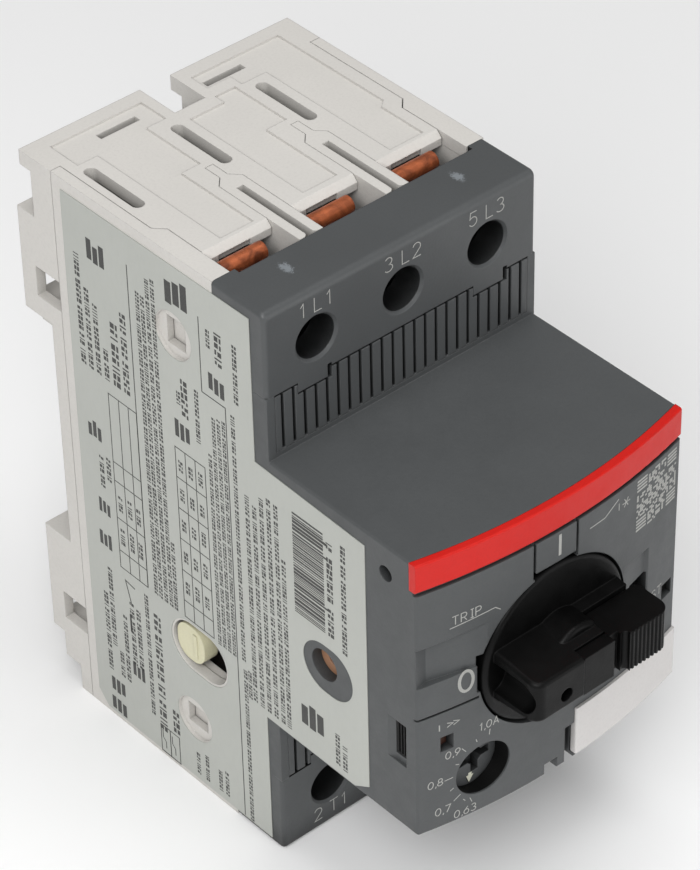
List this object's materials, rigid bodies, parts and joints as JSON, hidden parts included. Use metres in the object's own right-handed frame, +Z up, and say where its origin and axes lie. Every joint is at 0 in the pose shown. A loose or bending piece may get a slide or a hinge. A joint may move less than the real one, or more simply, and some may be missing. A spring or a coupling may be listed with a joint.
{
  "type": "motor protection breaker",
  "caption": "Compact rail-mounted motor protection breaker with a rotary handle, current setting dial, screw terminals and a stepped grey housing.",
  "frame": {"origin": "centre of the pad that sits on the mounting rail, in the middle of the width and height", "axes": "+Y to the rear, into the rail; +Z up, towards the line terminals; +X to the right seen from the front"},
  "size_m": [0.0451, 0.087, 0.09],
  "materials": {
    "light_grey_plastic": "fine matt moulded polyamide",
    "dark_grey_plastic": "fine matt moulded polyamide",
    "black_plastic": "satin moulded plastic",
    "red_plastic": "satin moulded plastic",
    "white_plastic": "smooth matt plastic",
    "cream_plastic": "smooth plastic",
    "brown_plastic": "smooth plastic",
    "label_film": "printed polyester film",
    "copper": "bare drawn copper",
    "zinc_steel": "zinc plated",
    "spring_steel": "bright spring wire",
    "bimetal": "rolled strip"
  },
  "bodies": {
    "housing": {"base_housing": "light_grey_plastic", "bimetal_strips": "bimetal", "coil_bobbins": "white_plastic", "frame_screws": "zinc_steel", "front_housing": "dark_grey_plastic", "heater_brackets": "copper", "heater_windings": "copper", "latch_pin": "zinc_steel", "latch_spring": "spring_steel", "left_side_cover": "light_grey_plastic", "line_arc_plates": "zinc_steel", "line_clamp_bars": "copper", "line_clamp_cages": "zinc_steel", "line_fixed_contacts": "copper", "line_terminal_screws": "zinc_steel", "line_terminal_shroud": "dark_grey_plastic", "line_vent_grille": "dark_grey_plastic", "load_arc_plates": "zinc_steel", "load_clamp_bars": "copper", "load_clamp_cages": "zinc_steel", "load_fixed_contacts": "copper", "load_terminal_screws": "zinc_steel", "load_terminal_shroud": "dark_grey_plastic", "load_vent_grille": "dark_grey_plastic", "magnet_coils": "copper", "magnet_yokes": "zinc_steel", "marker_plate": "white_plastic", "mechanism_frame": "black_plastic", "phase_barrier_1": "light_grey_plastic", "phase_barrier_2": "light_grey_plastic", "red_stripe": "red_plastic", "right_side_cover": "light_grey_plastic", "side_label": "label_film", "side_louvre": "black_plastic", "side_socket_insert": "copper"},
    "handle": {"handle_knob": "black_plastic", "drive_shaft": "black_plastic"},
    "lock_slide": {"lock_slide": "black_plastic"},
    "current_dial": {"current_dial": "dark_grey_plastic", "dial_cam": "white_plastic"},
    "contact_carrier": {"contact_carrier": "black_plastic", "contact_bridges": "copper", "contact_spring_1": "spring_steel", "contact_spring_2": "spring_steel", "contact_spring_3": "spring_steel"},
    "auxiliary_lever": {"auxiliary_lever": "cream_plastic"},
    "trip_plunger_1": {"trip_plunger_1": "zinc_steel"},
    "trip_plunger_2": {"trip_plunger_2": "zinc_steel"},
    "trip_plunger_3": {"trip_plunger_3": "zinc_steel"},
    "trip_slider": {"trip_slider": "cream_plastic"},
    "trip_latch": {"trip_latch": "cream_plastic"},
    "test_button": {"test_button": "black_plastic"},
    "trip_flag": {"trip_flag": "brown_plastic"},
    "rail_clip": {"rail_clip": "light_grey_plastic"}
  },
  "joints": [
    {"name": "handle_turn", "type": "hinge", "parent": "housing", "child": "handle", "pos_m": [-0.0013, -0.072, 0], "axis": [0, 1, 0], "range_deg": [0, 90]},
    {"name": "lock_slide_pull", "type": "slide", "parent": "handle", "child": "lock_slide", "axis": [1, 0, 0], "range_m": [0, 0.006]},
    {"name": "dial_turn", "type": "hinge", "parent": "housing", "child": "current_dial", "pos_m": [-0.01295, -0.07, -0.0153], "axis": [0, 1, 0], "range_deg": [0, 173]},
    {"name": "contact_close", "type": "slide", "parent": "housing", "child": "contact_carrier", "axis": [0, 1, 0], "range_m": [0, 0.003]},
    {"name": "auxiliary_lever_slide", "type": "slide", "parent": "housing", "child": "auxiliary_lever", "axis": [0, -1, 0], "range_m": [0, 0.004]},
    {"name": "plunger_strike_1", "type": "slide", "parent": "housing", "child": "trip_plunger_1", "axis": [0, -1, 0], "range_m": [0, 0.002], "stiffness_N_per_m": 100, "springref_m": -0.002},
    {"name": "plunger_strike_2", "type": "slide", "parent": "housing", "child": "trip_plunger_2", "axis": [0, -1, 0], "range_m": [0, 0.002], "stiffness_N_per_m": 100, "springref_m": -0.002},
    {"name": "plunger_strike_3", "type": "slide", "parent": "housing", "child": "trip_plunger_3", "axis": [0, -1, 0], "range_m": [0, 0.002], "stiffness_N_per_m": 100, "springref_m": -0.002},
    {"name": "trip_slider_shift", "type": "slide", "parent": "housing", "child": "trip_slider", "axis": [1, 0, 0], "range_m": [-0.0012, 0.0012]},
    {"name": "latch_release", "type": "hinge", "parent": "housing", "child": "trip_latch", "pos_m": [0.008, -0.055, 0.011], "axis": [1, 0, 0], "range_deg": [0, 15], "stiffness_Nm_per_rad": 0.01, "springref_deg": -17.19},
    {"name": "test_press", "type": "slide", "parent": "housing", "child": "test_button", "axis": [0, 1, 0], "range_m": [0, 0.0015], "stiffness_N_per_m": 100, "springref_m": -0.001},
    {"name": "flag_pop", "type": "slide", "parent": "housing", "child": "trip_flag", "axis": [0, -1, 0], "range_m": [0, 0.001]},
    {"name": "rail_clip_pull", "type": "slide", "parent": "housing", "child": "rail_clip", "axis": [0, 0, -1], "range_m": [0, 0.005], "stiffness_N_per_m": 200, "springref_m": -0.003}
  ],
  "couplings": [
    {"joint": "contact_close", "follows": "handle_turn", "m_per_rad": 0.0019079},
    {"joint": "auxiliary_lever_slide", "follows": "handle_turn", "m_per_rad": 0.0025439}
  ]
}
